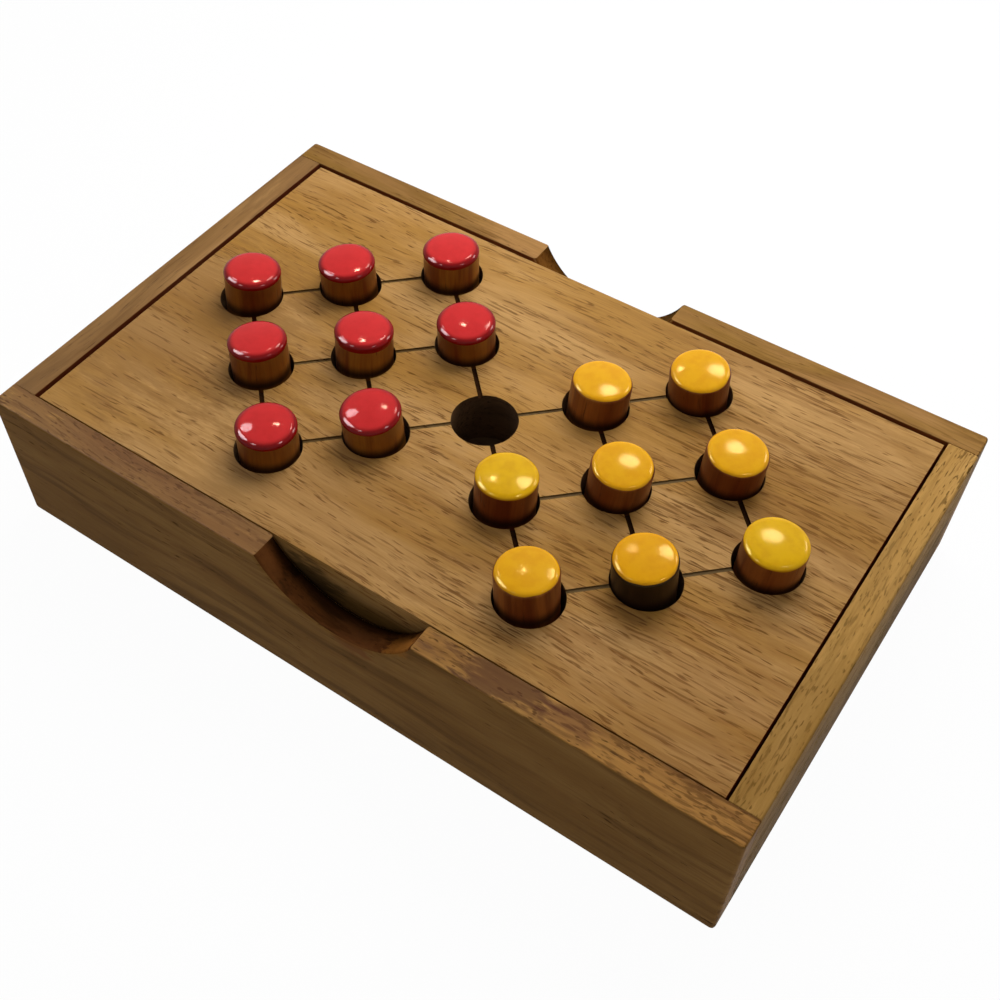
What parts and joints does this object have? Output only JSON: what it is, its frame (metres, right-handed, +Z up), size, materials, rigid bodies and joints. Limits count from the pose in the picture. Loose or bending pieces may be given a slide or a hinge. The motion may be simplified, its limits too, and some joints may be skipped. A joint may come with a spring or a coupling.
{
  "type": "peg exchange puzzle",
  "caption": "Shallow wooden tray with finger scoops, a lift-out board of round holes joined by scored lines, and loose red and yellow topped pegs around an empty middle hole.",
  "frame": {"origin": "centre of the tray's underside, on the surface that it stands on", "axes": "+Z up, +X along the long walls towards the yellow pegs, +Y from the front wall to the back wall"},
  "size_m": [0.1744, 0.1076, 0.0436],
  "materials": {
    "tray_floor_wood": "plain sawn hardwood",
    "front_wall_wood": "oiled open-pored hardwood",
    "back_wall_wood": "oiled open-pored hardwood",
    "left_end_wood": "oiled open-pored hardwood",
    "right_end_wood": "oiled open-pored hardwood",
    "board_wood": "satin open-pored hardwood",
    "red_peg_paint": "brown dowel with a glossy red painted top",
    "yellow_peg_paint": "brown dowel with a glossy yellow painted top"
  },
  "bodies": {
    "tray": {"base_panel": "tray_floor_wood", "front_wall": "front_wall_wood", "back_wall": "back_wall_wood", "left_end_wall": "left_end_wood", "right_end_wall": "right_end_wood", "left_ledge": "tray_floor_wood", "right_ledge": "tray_floor_wood"},
    "board": {"game_board": "board_wood"},
    "red_peg_1": {"red_peg_1": "red_peg_paint"},
    "red_peg_2": {"red_peg_2": "red_peg_paint"},
    "red_peg_3": {"red_peg_3": "red_peg_paint"},
    "red_peg_4": {"red_peg_4": "red_peg_paint"},
    "red_peg_5": {"red_peg_5": "red_peg_paint"},
    "red_peg_6": {"red_peg_6": "red_peg_paint"},
    "red_peg_7": {"red_peg_7": "red_peg_paint"},
    "red_peg_8": {"red_peg_8": "red_peg_paint"},
    "yellow_peg_1": {"yellow_peg_1": "yellow_peg_paint"},
    "yellow_peg_2": {"yellow_peg_2": "yellow_peg_paint"},
    "yellow_peg_3": {"yellow_peg_3": "yellow_peg_paint"},
    "yellow_peg_4": {"yellow_peg_4": "yellow_peg_paint"},
    "yellow_peg_5": {"yellow_peg_5": "yellow_peg_paint"},
    "yellow_peg_6": {"yellow_peg_6": "yellow_peg_paint"},
    "yellow_peg_7": {"yellow_peg_7": "yellow_peg_paint"},
    "yellow_peg_8": {"yellow_peg_8": "yellow_peg_paint"}
  },
  "joints": [
    {"name": "board_lift", "type": "slide", "parent": "tray", "child": "board", "axis": [0, 0, 1], "range_m": [0, 0.03]},
    {"name": "red_peg_1_lift", "type": "slide", "parent": "board", "child": "red_peg_1", "axis": [0, 0, 1], "range_m": [0, 0.022]},
    {"name": "red_peg_2_lift", "type": "slide", "parent": "board", "child": "red_peg_2", "axis": [0, 0, 1], "range_m": [0, 0.022]},
    {"name": "red_peg_3_lift", "type": "slide", "parent": "board", "child": "red_peg_3", "axis": [0, 0, 1], "range_m": [0, 0.022]},
    {"name": "red_peg_4_lift", "type": "slide", "parent": "board", "child": "red_peg_4", "axis": [0, 0, 1], "range_m": [0, 0.022]},
    {"name": "red_peg_5_lift", "type": "slide", "parent": "board", "child": "red_peg_5", "axis": [0, 0, 1], "range_m": [0, 0.022]},
    {"name": "red_peg_6_lift", "type": "slide", "parent": "board", "child": "red_peg_6", "axis": [0, 0, 1], "range_m": [0, 0.022]},
    {"name": "red_peg_7_lift", "type": "slide", "parent": "board", "child": "red_peg_7", "axis": [0, 0, 1], "range_m": [0, 0.022]},
    {"name": "red_peg_8_lift", "type": "slide", "parent": "board", "child": "red_peg_8", "axis": [0, 0, 1], "range_m": [0, 0.022]},
    {"name": "yellow_peg_1_lift", "type": "slide", "parent": "board", "child": "yellow_peg_1", "axis": [0, 0, 1], "range_m": [0, 0.022]},
    {"name": "yellow_peg_2_lift", "type": "slide", "parent": "board", "child": "yellow_peg_2", "axis": [0, 0, 1], "range_m": [0, 0.022]},
    {"name": "yellow_peg_3_lift", "type": "slide", "parent": "board", "child": "yellow_peg_3", "axis": [0, 0, 1], "range_m": [0, 0.022]},
    {"name": "yellow_peg_4_lift", "type": "slide", "parent": "board", "child": "yellow_peg_4", "axis": [0, 0, 1], "range_m": [0, 0.022]},
    {"name": "yellow_peg_5_lift", "type": "slide", "parent": "board", "child": "yellow_peg_5", "axis": [0, 0, 1], "range_m": [0, 0.022]},
    {"name": "yellow_peg_6_lift", "type": "slide", "parent": "board", "child": "yellow_peg_6", "axis": [0, 0, 1], "range_m": [0, 0.022]},
    {"name": "yellow_peg_7_lift", "type": "slide", "parent": "board", "child": "yellow_peg_7", "axis": [0, 0, 1], "range_m": [0, 0.022]},
    {"name": "yellow_peg_8_lift", "type": "slide", "parent": "board", "child": "yellow_peg_8", "axis": [0, 0, 1], "range_m": [0, 0.022]}
  ]
}
